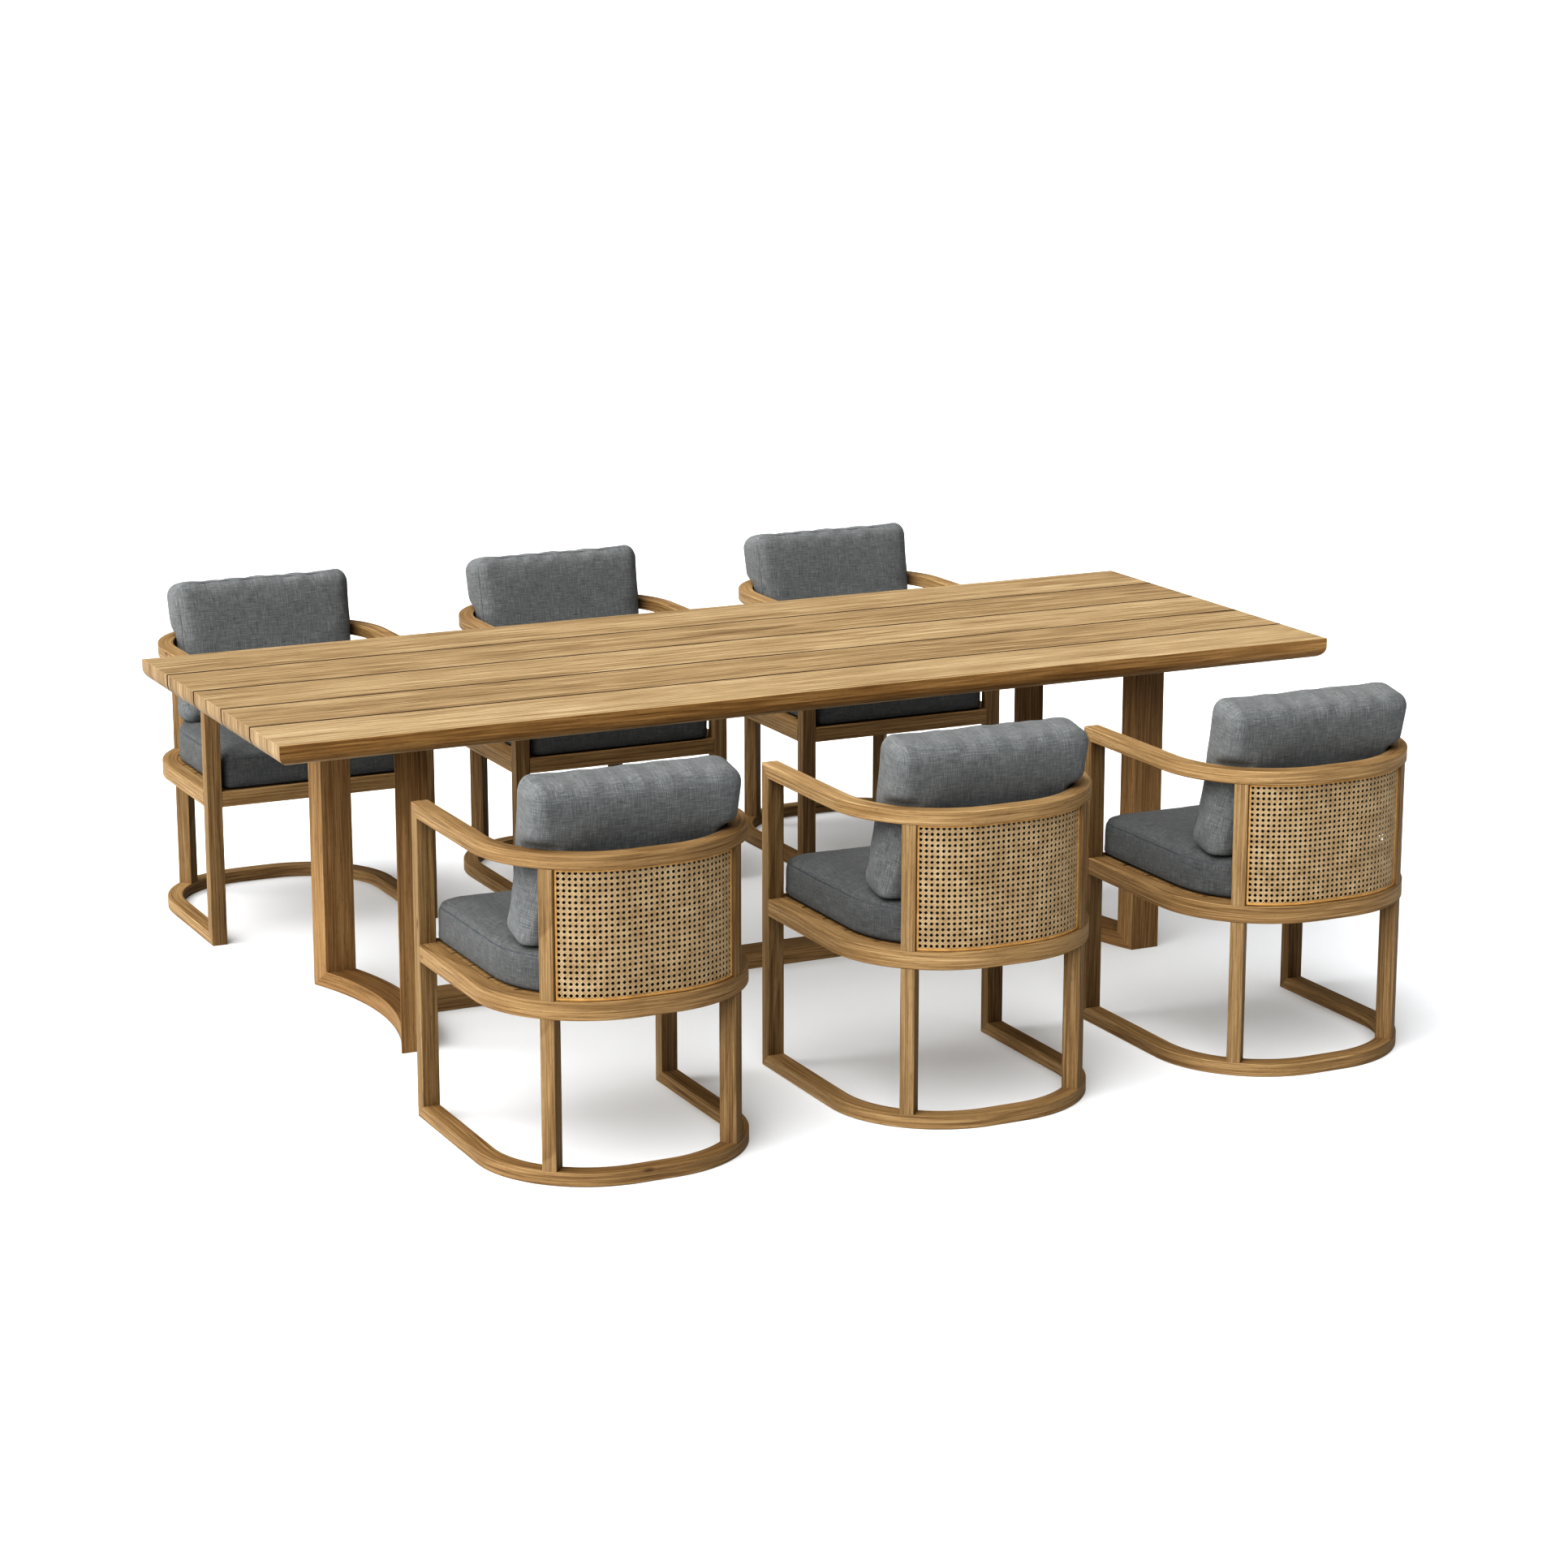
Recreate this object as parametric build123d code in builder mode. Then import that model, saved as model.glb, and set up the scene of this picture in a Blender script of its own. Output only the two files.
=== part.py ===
from build123d import *
import math
import os

os.makedirs("parts", exist_ok=True)

# Patio dining set: a plank table on two bowed trestles with six barrel chairs.
# All dimensions in millimetres. X runs along the table, Y across it, Z up.
# The origin is on the floor under the middle of the table.

# ---- table ---------------------------------------------------------------
TOP_LEN = 2526.0        # along X
TOP_WID = 966.4         # along Y
TOP_Z = 750.0           # height of the top face
TOP_T = 46.0            # plank thickness
PLANKS = 5
PLANK_GAP = 3.0
UNDER_R = 26.0          # large round under the outer edges
EASE = 1.2              # small edge break on the planks

ARC_C = 1630.4          # x of the trestle arc centre (each side mirrored)
ARC_R = 740.0           # concave outer face radius
TR_W = 68.0             # radial width of the trestle members
TR_HALF = 287.0         # half depth of a trestle along Y
FOOT_H = 38.0
LEG_T = 42.0            # leg size along Y
HEAD_H = 34.0
TR_EDGE = 1.6
STR_W = 73.6
STR_H = 38.0

BATTEN_X = (-1120.0, -430.0, 430.0, 1120.0)
BATTEN_W = 60.0
BATTEN_T = 24.0
BATTEN_L = 730.0
SCREW_D = 5.0
SCREW_HEAD_D = 11.0
SCREW_HEAD_T = 4.0
SCREW_BITE = 26.0       # depth of a screw in a plank

# ---- chair ---------------------------------------------------------------
CHAIR_X = (-777.7, 0.0, 777.7)
FRONT_Y = 691.2         # chair front line, distance from the table centre line
CW = 283.5              # outer half width
CYS = 323.0             # straight side length
CR = 245.0              # outer corner radius
CX = CW - CR            # half length of the flat back
RING_T = 37.0           # ring width in plan
BASE_H = 28.0
SEAT_Z0 = 334.0
SEAT_Z1 = 371.0
ARM_Z0 = 631.0
ARM_Z1 = 660.2
POST_Y = 30.5           # front post size along Y
BP_ANG = 47.8           # back post direction from the corner centre, degrees
BP_T = 30.0             # back post, tangential size
BP_R = 36.0             # back post, radial size
BP_IN = 0.8             # back post set in from the ring face
EDGE = 2.0              # rounded wood edges

PANEL_R = 237.0         # outer face of the cane sheet
PANEL_T = 3.0
STILE_D = 22.0          # stile and rail depth behind the sheet
STILE_W = 15.0
PRAIL_H = 12.0

SLAT_T = 14.0
SLAT_CUTS = (118.0, 214.0, 311.0, 409.0)    # middle of each gap, from the front
SLAT_GAP = 8.0

CUSH_GAP = 4.0
CUSH_FRONT = 6.0
CUSH_Z1 = 460.0
BACK_W = 442.0
BACK_T = 116.0
BACK_H = 346.0
BACK_TILT = 12.0
BACK_Y = -382.0         # centre plane of the back cushion at its foot
BACK_ROUND = 38.0
BACK_CORNER = 42.0
BACK_FIT = 13.0        # room between the cushion and the arm ring it stands inside

UNDER_Z = TOP_Z - TOP_T
R_IN = ARC_R + TR_W
pitch = (TOP_WID + PLANK_GAP) / PLANKS
plank_w = pitch - PLANK_GAP
plank_y = [-TOP_WID / 2 + plank_w / 2 + i * pitch for i in range(PLANKS)]
screw_y = [-350.0, plank_y[1], plank_y[2], plank_y[3], 350.0]    # one screw per plank
mid_r = (ARC_R + R_IN) / 2
HEAD_SCREWS = [(s * (ARC_C - math.sqrt(mid_r ** 2 - y ** 2)), y) for s in (-1, 1) for y in (-150.0, 0.0, 150.0)]


def save(part, label):
    part.label = label
    export_step(part, "parts/%s.step" % label)


# ==== table top planks ====================================================
for i in range(PLANKS):
    with BuildPart() as plank:
        with BuildSketch(Plane.XY.offset(UNDER_Z)):
            with Locations((0, plank_y[i])):
                Rectangle(TOP_LEN, plank_w)
        extrude(amount=TOP_T)
        low = plank.edges().group_by(Axis.Z)[0]
        rnd = [e for e in low if abs(abs(e.center().X) - TOP_LEN / 2) < 1]
        if i == 0:
            rnd += [e for e in low if abs(e.center().Y + TOP_WID / 2) < 1]
        if i == PLANKS - 1:
            rnd += [e for e in low if abs(e.center().Y - TOP_WID / 2) < 1]
        fillet(rnd, UNDER_R)
        fillet(plank.edges().group_by(Axis.Z)[-1], EASE)
        holes = [(x, screw_y[i], UNDER_Z) for x in BATTEN_X]
        holes += [(x, y, UNDER_Z) for x, y in HEAD_SCREWS if abs(y - plank_y[i]) < plank_w / 2]
        with Locations(holes):
            Cylinder(SCREW_D / 2 + 0.05, SCREW_BITE + 1, align=(Align.CENTER, Align.CENTER, Align.MIN), mode=Mode.SUBTRACT)
    save(plank.part, "table_plank_%d" % (i + 1))

# ==== battens under the planks ============================================
battens = []
for x in BATTEN_X:
    with BuildPart() as batten:
        with BuildSketch(Plane.XY.offset(UNDER_Z - BATTEN_T)):
            with Locations((x, 0)):
                Rectangle(BATTEN_W, BATTEN_L)
        extrude(amount=BATTEN_T)
        fillet(batten.edges().group_by(Axis.Z)[0], 3.0)
        with Locations([(x, y, UNDER_Z) for y in screw_y]):
            Cylinder(SCREW_D / 2 + 0.05, BATTEN_T + 1, align=(Align.CENTER, Align.CENTER, Align.MAX), mode=Mode.SUBTRACT)
        with Locations([(x, y, UNDER_Z - BATTEN_T) for y in screw_y]):
            Cylinder(SCREW_HEAD_D / 2 + 0.1, SCREW_HEAD_T, align=(Align.CENTER, Align.CENTER, Align.MIN), mode=Mode.SUBTRACT)
    battens.append(batten.part)
save(Compound(children=battens), "table_battens")


# ==== trestles ============================================================
def arc_x(side, r, y):
    return side * (ARC_C - math.sqrt(r * r - y * y))


def bow_outline(side, y_half):
    """Plan outline of the bowed trestle member, cut square at y = +/-y_half."""
    with BuildLine() as ln:
        ThreePointArc((arc_x(side, ARC_R, -y_half), -y_half), (arc_x(side, ARC_R, 0), 0), (arc_x(side, ARC_R, y_half), y_half))
        Line((arc_x(side, ARC_R, y_half), y_half), (arc_x(side, R_IN, y_half), y_half))
        ThreePointArc((arc_x(side, R_IN, y_half), y_half), (arc_x(side, R_IN, 0), 0), (arc_x(side, R_IN, -y_half), -y_half))
        Line((arc_x(side, R_IN, -y_half), -y_half), (arc_x(side, ARC_R, -y_half), -y_half))
    return ln.line


def arc_edges(part, z):
    return [e for e in part.edges() if e.geom_type == GeomType.CIRCLE and e.length > 300 and abs(e.center().Z - z) < 0.5]


heads = []
legs = []
for side, name in ((-1, "left"), (1, "right")):
    cutter = Plane.YZ.offset(side * 900 - 250)
    with BuildPart() as foot:
        with BuildSketch(Plane.XY):
            with BuildLine():
                add(bow_outline(side, TR_HALF + 20))
            make_face()
        extrude(amount=FOOT_H)
        chamfer(arc_edges(foot, 0) + arc_edges(foot, FOOT_H), TR_EDGE)
        with BuildSketch(cutter):
            for sy in (-1, 1):
                with BuildLine():
                    Polyline((sy * TR_HALF, 0), (sy * (TR_HALF - LEG_T), FOOT_H), (sy * (TR_HALF - LEG_T), FOOT_H + 1),
                             (sy * (TR_HALF + 30), FOOT_H + 1), (sy * (TR_HALF + 30), -1), (sy * TR_HALF, -1), close=True)
                make_face()
        extrude(amount=500, mode=Mode.SUBTRACT)
    save(foot.part, "trestle_foot_%s" % name)

    with BuildPart() as head:
        with BuildSketch(Plane.XY.offset(UNDER_Z - HEAD_H)):
            with BuildLine():
                add(bow_outline(side, TR_HALF + 20))
            make_face()
        extrude(amount=HEAD_H)
        with BuildSketch(cutter):
            for sy in (-1, 1):
                with BuildLine():
                    Polyline((sy * TR_HALF, UNDER_Z), (sy * (TR_HALF - LEG_T), UNDER_Z - HEAD_H), (sy * (TR_HALF - LEG_T), UNDER_Z - HEAD_H - 1),
                             (sy * (TR_HALF + 30), UNDER_Z - HEAD_H - 1), (sy * (TR_HALF + 30), UNDER_Z + 1), (sy * TR_HALF, UNDER_Z + 1), close=True)
                make_face()
        extrude(amount=500, mode=Mode.SUBTRACT)
        spots = [(x, y) for x, y in HEAD_SCREWS if x * side > 0]
        with Locations([(x, y, UNDER_Z) for x, y in spots]):
            Cylinder(SCREW_D / 2 + 0.05, HEAD_H + 1, align=(Align.CENTER, Align.CENTER, Align.MAX), mode=Mode.SUBTRACT)
        with Locations([(x, y, UNDER_Z - HEAD_H) for x, y in spots]):
            Cylinder(SCREW_HEAD_D / 2 + 0.1, SCREW_HEAD_T, align=(Align.CENTER, Align.CENTER, Align.MIN), mode=Mode.SUBTRACT)
    heads.append(head.part)

    for sy in (-1, 1):
        with BuildPart() as leg:
            with BuildSketch(Plane.XY):
                with BuildLine():
                    add(bow_outline(side, TR_HALF))
                make_face()
                with Locations((side * 900, sy * (TR_HALF - LEG_T / 2))):
                    Rectangle(400, LEG_T, mode=Mode.INTERSECT)
            extrude(amount=UNDER_Z)
            fillet(leg.edges().filter_by(Axis.Z), TR_EDGE)
            with BuildSketch(cutter):
                with BuildLine():
                    Polyline((sy * TR_HALF, 0), (sy * (TR_HALF - LEG_T), FOOT_H), (sy * (TR_HALF - LEG_T - 1), FOOT_H),
                             (sy * (TR_HALF - LEG_T - 1), -1), (sy * TR_HALF, -1), close=True)
                make_face()
                with BuildLine():
                    Polyline((sy * TR_HALF, UNDER_Z), (sy * (TR_HALF - LEG_T), UNDER_Z - HEAD_H), (sy * (TR_HALF - LEG_T - 1), UNDER_Z - HEAD_H),
                             (sy * (TR_HALF - LEG_T - 1), UNDER_Z + 1), (sy * TR_HALF, UNDER_Z + 1), close=True)
                make_face()
            extrude(amount=500, mode=Mode.SUBTRACT)
        legs.append(leg.part)
save(Compound(children=heads), "trestle_heads")
save(Compound(children=legs), "trestle_legs")

# ==== floor stretcher between the two feet ================================
with BuildPart() as stretcher:
    with BuildSketch(Plane.XY):
        Rectangle(2 * (ARC_C - R_IN) + 60, STR_W)
    extrude(amount=STR_H)
    fillet(stretcher.edges().filter_by(Axis.X), TR_EDGE)
    with BuildSketch(Plane.XY.offset(-1)):
        for side in (-1, 1):
            with BuildLine():
                add(bow_outline(side, 120.0))
            make_face()
    extrude(amount=STR_H + 2, mode=Mode.SUBTRACT)
save(stretcher.part, "table_stretcher")

# ==== screws ==============================================================
screws = []
places = [(x, y, UNDER_Z - BATTEN_T) for x in BATTEN_X for y in screw_y]
places += [(x, y, UNDER_Z - HEAD_H) for x, y in HEAD_SCREWS]
for x, y, z in places:
    with BuildPart() as screw:
        with BuildSketch(Plane.XY.offset(z)):
            with Locations((x, y)):
                Circle(SCREW_HEAD_D / 2)
        extrude(amount=SCREW_HEAD_T)
        with BuildSketch(Plane.XY.offset(z)):
            with Locations((x, y)):
                Circle(SCREW_D / 2)
        extrude(amount=UNDER_Z + SCREW_BITE - z)
        with BuildSketch(Plane.XY.offset(z)):
            with Locations((x, y)):
                RegularPolygon(2.0, 6)
        extrude(amount=2.2, mode=Mode.SUBTRACT)
    screws.append(screw.part)
save(Compound(children=screws), "table_screws")


# ==== chair, built once with its front line on y = 0, back towards -Y ======
def arc_pt(side, r, deg):
    """Point on a back corner arc; deg 0 is sideways, 90 is straight back."""
    a = math.radians(deg)
    return (side * (CX + r * math.cos(a)), -(CYS + r * math.sin(a)))


def d_outline(off, y_front):
    """D-shaped outline inset by off, with its open straight front at y_front."""
    w = CW - off
    r = CR - off
    with BuildLine() as ln:
        Line((-w, y_front), (-w, -CYS))
        ThreePointArc((-w, -CYS), arc_pt(-1, r, 45), (-CX, -CYS - r))
        Line((-CX, -CYS - r), (CX, -CYS - r))
        ThreePointArc((CX, -CYS - r), arc_pt(1, r, 45), (w, -CYS))
        Line((w, -CYS), (w, y_front))
        Line((w, y_front), (-w, y_front))
    return ln.line


def post_pt(side, t, rho):
    """Point in the back post's own frame: t towards the middle, rho outwards."""
    a = math.radians(BP_ANG)
    return (side * (CX + rho * math.cos(a) - t * math.sin(a)), -(CYS + rho * math.sin(a) + t * math.cos(a)))


def back_band(r_out, r_in, t):
    """Curved band behind the seat between the back posts."""
    eo = BP_ANG + math.degrees(math.asin(t / r_out))
    ei = BP_ANG + math.degrees(math.asin(t / r_in))
    with BuildLine() as ln:
        ThreePointArc(arc_pt(1, r_out, eo), arc_pt(1, r_out, (eo + 90) / 2), arc_pt(1, r_out, 90))
        Line(arc_pt(1, r_out, 90), arc_pt(-1, r_out, 90))
        ThreePointArc(arc_pt(-1, r_out, 90), arc_pt(-1, r_out, (eo + 90) / 2), arc_pt(-1, r_out, eo))
        Line(arc_pt(-1, r_out, eo), arc_pt(-1, r_in, ei))
        ThreePointArc(arc_pt(-1, r_in, ei), arc_pt(-1, r_in, (ei + 90) / 2), arc_pt(-1, r_in, 90))
        Line(arc_pt(-1, r_in, 90), arc_pt(1, r_in, 90))
        ThreePointArc(arc_pt(1, r_in, 90), arc_pt(1, r_in, (ei + 90) / 2), arc_pt(1, r_in, ei))
        Line(arc_pt(1, r_in, ei), arc_pt(1, r_out, eo))
    return ln.line


def long_edges(part, y_front):
    """Top and bottom edges of a ring, without the short ones at its ends."""
    es = part.edges().group_by(Axis.Z)
    return [e for e in es[0] + es[-1] if not abs(e.center().Y - y_front) < 1.0]


with BuildPart() as base_ring:
    with BuildSketch(Plane.XY):
        with BuildLine():
            add(d_outline(0, 0))
        make_face()
        with BuildLine():
            add(d_outline(RING_T, 1))
        make_face(mode=Mode.SUBTRACT)
    extrude(amount=BASE_H)
    fillet(long_edges(base_ring, 0), EDGE)
    with BuildSketch(Plane.YZ.offset(-400)):
        with BuildLine():
            Polyline((0, 0), (-POST_Y, BASE_H), (-POST_Y, BASE_H + 1), (1, BASE_H + 1), (1, 0), close=True)
        make_face()
    extrude(amount=800, mode=Mode.SUBTRACT)

with BuildPart() as arm_ring:
    with BuildSketch(Plane.XY.offset(ARM_Z0)):
        with BuildLine():
            add(d_outline(0, 0))
        make_face()
        with BuildLine():
            add(d_outline(RING_T, 1))
        make_face(mode=Mode.SUBTRACT)
    extrude(amount=ARM_Z1 - ARM_Z0)
    fillet(long_edges(arm_ring, 0), EDGE)
    with BuildSketch(Plane.YZ.offset(-400)):
        with BuildLine():
            Polyline((0, ARM_Z1), (-POST_Y, ARM_Z0), (-POST_Y, ARM_Z0 - 1), (1, ARM_Z0 - 1), (1, ARM_Z1), close=True)
        make_face()
    extrude(amount=800, mode=Mode.SUBTRACT)

with BuildPart() as seat_ring:
    with BuildSketch(Plane.XY.offset(SEAT_Z0)):
        with BuildLine():
            add(d_outline(0, -POST_Y))
        make_face()
        with BuildLine():
            add(d_outline(RING_T, -POST_Y + 1))
        make_face(mode=Mode.SUBTRACT)
    extrude(amount=SEAT_Z1 - SEAT_Z0)
    fillet(long_edges(seat_ring, -POST_Y), EDGE)

with BuildPart() as front_rail:
    with BuildSketch(Plane.XY.offset(SEAT_Z0)):
        with Locations((0, -POST_Y / 2)):
            Rectangle(2 * (CW - RING_T), POST_Y)
    extrude(amount=SEAT_Z1 - SEAT_Z0)
    fillet(front_rail.edges().filter_by(Axis.X), EDGE)

posts = []
for side in (-1, 1):
    with BuildPart() as front_post:
        with BuildSketch(Plane.XY):
            with Locations((side * (CW - RING_T / 2), -POST_Y / 2)):
                Rectangle(RING_T, POST_Y)
        extrude(amount=ARM_Z1)
        fillet(front_post.edges().filter_by(Axis.Z), EDGE)
        with BuildSketch(Plane.YZ.offset(-400)):
            with BuildLine():
                Polyline((0, 0), (-POST_Y, BASE_H), (-POST_Y - 1, BASE_H), (-POST_Y - 1, -1), (0, -1), close=True)
            make_face()
            with BuildLine():
                Polyline((0, ARM_Z1), (-POST_Y, ARM_Z0), (-POST_Y - 1, ARM_Z0), (-POST_Y - 1, ARM_Z1 + 1), (0, ARM_Z1 + 1), close=True)
            make_face()
        extrude(amount=800, mode=Mode.SUBTRACT)
    posts.append(front_post.part)
    rho = CR - BP_IN - BP_R / 2
    cx, cy = post_pt(side, 0, rho)
    turn = -BP_ANG if side > 0 else 180 + BP_ANG
    for z0, z1 in ((BASE_H, SEAT_Z0), (SEAT_Z1, ARM_Z0)):
        with BuildPart() as back_post:
            with BuildSketch(Plane.XY.offset(z0)):
                with Locations(Location((cx, cy), turn)):
                    Rectangle(BP_R, BP_T)
            extrude(amount=z1 - z0)
            fillet(back_post.edges().filter_by(Axis.Z), EDGE)
        posts.append(back_post.part)

slats = []
cuts = [POST_Y - SLAT_GAP / 2] + list(SLAT_CUTS) + [CYS + CR - RING_T + SLAT_GAP / 2]
for a, b in zip(cuts[:-1], cuts[1:]):
    ya, yb = -(a + SLAT_GAP / 2), -(b - SLAT_GAP / 2)
    with BuildPart() as slat:
        with BuildSketch(Plane.XY.offset(SEAT_Z1 - SLAT_T)):
            with BuildLine():
                add(d_outline(RING_T, -POST_Y))
            make_face()
            with Locations((0, (ya + yb) / 2)):
                Rectangle(2 * CW, abs(yb - ya), mode=Mode.INTERSECT)
        extrude(amount=SLAT_T)
    slats.append(slat.part)

panel = []
GAP_T = BP_T / 2 + 0.15
with BuildPart() as sheet:
    with BuildSketch(Plane.XY.offset(SEAT_Z1)):
        with BuildLine():
            add(back_band(PANEL_R, PANEL_R - PANEL_T, GAP_T))
        make_face()
    extrude(amount=ARM_Z0 - SEAT_Z1)
panel.append(sheet.part)
r_o = PANEL_R - PANEL_T
r_i = r_o - STILE_D
for side in (-1, 1):
    with BuildPart() as stile:
        with BuildSketch(Plane.XY.offset(SEAT_Z1)):
            with BuildLine():
                add(back_band(r_o, r_i, GAP_T))
            make_face()
            sx, sy = post_pt(side, GAP_T + STILE_W / 2, (r_o + r_i) / 2)
            with Locations(Location((sx, sy), -BP_ANG if side > 0 else 180 + BP_ANG)):
                Rectangle(60, STILE_W, mode=Mode.INTERSECT)
        extrude(amount=ARM_Z0 - SEAT_Z1)
    panel.append(stile.part)
with BuildPart() as panel_rail:
    with BuildSketch(Plane.XY.offset(SEAT_Z1)):
        with BuildLine():
            add(back_band(r_o, r_i, GAP_T + STILE_W))
        make_face()
    extrude(amount=PRAIL_H)
panel.append(panel_rail.part)

with BuildPart() as seat_cushion:
    with BuildSketch(Plane.XY.offset(SEAT_Z1)):
        with BuildLine():
            add(d_outline(RING_T + CUSH_GAP, -CUSH_FRONT))
        make_face()
        fillet([v for v in vertices() if abs(v.Y + CUSH_FRONT) < 0.5], 18.0)
    extrude(amount=CUSH_Z1 - SEAT_Z1)
    fillet(seat_cushion.edges().group_by(Axis.Z)[-1], 18.0)
    fillet(seat_cushion.edges().group_by(Axis.Z)[0], 7.0)

FOOT_Z = CUSH_Z1 - 4.0
lean = Plane(origin=(0, BACK_Y, FOOT_Z), x_dir=(1, 0, 0),
             z_dir=(0, -math.sin(math.radians(BACK_TILT)), math.cos(math.radians(BACK_TILT))))
with BuildPart() as back_cushion:
    with BuildSketch(lean):
        Rectangle(BACK_W, BACK_T)
    extrude(amount=BACK_H)
    across = [e for e in back_cushion.edges() if abs(e.length - BACK_T) < 0.1]
    fillet(across, BACK_CORNER)
    rim = [e for e in back_cushion.edges() if e.length > 1 and abs(e.length - BACK_T) > 0.1]
    fillet(rim, BACK_ROUND)
    split(bisect_by=Plane.XY.offset(CUSH_Z1), keep=Keep.TOP)
    with BuildSketch(Plane.XY.offset(CUSH_Z1 - 10.0)):
        with BuildLine():
            add(d_outline(RING_T + BACK_FIT, -CUSH_FRONT))
        make_face()
    extrude(amount=BACK_H + 60.0, mode=Mode.INTERSECT)

chair_nodes = (
    ("base_ring", [base_ring.part]),
    ("posts", posts),
    ("seat_frame", [seat_ring.part, front_rail.part]),
    ("seat_slats", slats),
    ("arm_ring", [arm_ring.part]),
    ("cane_panel", panel),
    ("seat_cushion", [seat_cushion.part]),
    ("back_cushion", [back_cushion.part]),
)
n = 0
for row in (-1, 1):
    for x in CHAIR_X:
        n += 1
        spot = Pos(x, -FRONT_Y, 0) if row < 0 else Pos(x, FRONT_Y, 0) * Rot(0, 0, 180)
        for node, solids in chair_nodes:
            moved = [spot * s for s in solids]
            out = moved[0] if len(moved) == 1 else Compound(children=moved)
            save(out, "chair%d_%s" % (n, node))
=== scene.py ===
import math

import bmesh
import bpy
import numpy as np
from mathutils import Matrix, Vector, noise
from mathutils.bvhtree import BVHTree


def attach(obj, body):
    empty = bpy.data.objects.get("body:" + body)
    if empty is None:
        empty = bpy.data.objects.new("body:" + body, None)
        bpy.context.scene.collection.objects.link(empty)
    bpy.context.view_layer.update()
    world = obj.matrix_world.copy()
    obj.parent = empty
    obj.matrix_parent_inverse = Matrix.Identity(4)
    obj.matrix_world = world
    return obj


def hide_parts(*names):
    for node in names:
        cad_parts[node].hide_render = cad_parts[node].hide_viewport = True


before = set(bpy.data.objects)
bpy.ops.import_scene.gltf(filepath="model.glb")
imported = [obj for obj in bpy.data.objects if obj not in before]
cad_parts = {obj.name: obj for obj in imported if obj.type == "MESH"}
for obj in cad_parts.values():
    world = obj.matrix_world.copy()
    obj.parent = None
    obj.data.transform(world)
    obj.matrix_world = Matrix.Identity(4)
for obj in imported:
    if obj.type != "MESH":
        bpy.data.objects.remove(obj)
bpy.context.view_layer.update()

scene = bpy.context.scene
scene.view_settings.view_transform = "Standard"
scene.view_settings.look = "Very High Contrast"

# The same sizes as the CAD source, in metres
CHAIR_X = 0.7777
FRONT_Y = 0.6912
CYS = 0.323
CX = 0.0385
RM = 0.2265             # middle of the ring's width
R_SHEET = 0.237         # outer face of the cane sheet
Z_LOW, Z_HIGH = 0.371, 0.631
PLANK_PITCH = 0.19388
ARC_C = 1.6304
ARC_RM = 0.774
TILT = math.radians(12.0)
BACK_Y = 0.383          # depth of the back cushion's middle plane at its foot
CHAIRS = [(1, -CHAIR_X, -1), (2, 0.0, -1), (3, CHAIR_X, -1), (4, -CHAIR_X, 1), (5, 0.0, 1), (6, CHAIR_X, 1)]


def to_row(co, x, row):
    """Chair coordinates (x across, y = minus the depth behind the front line) to the row frame."""
    out = np.array(co, float)
    if row > 0:
        out[:, 0] *= -1
        out[:, 1] *= -1
    out[:, 0] += x
    out[:, 1] += row * FRONT_Y
    return out


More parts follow.
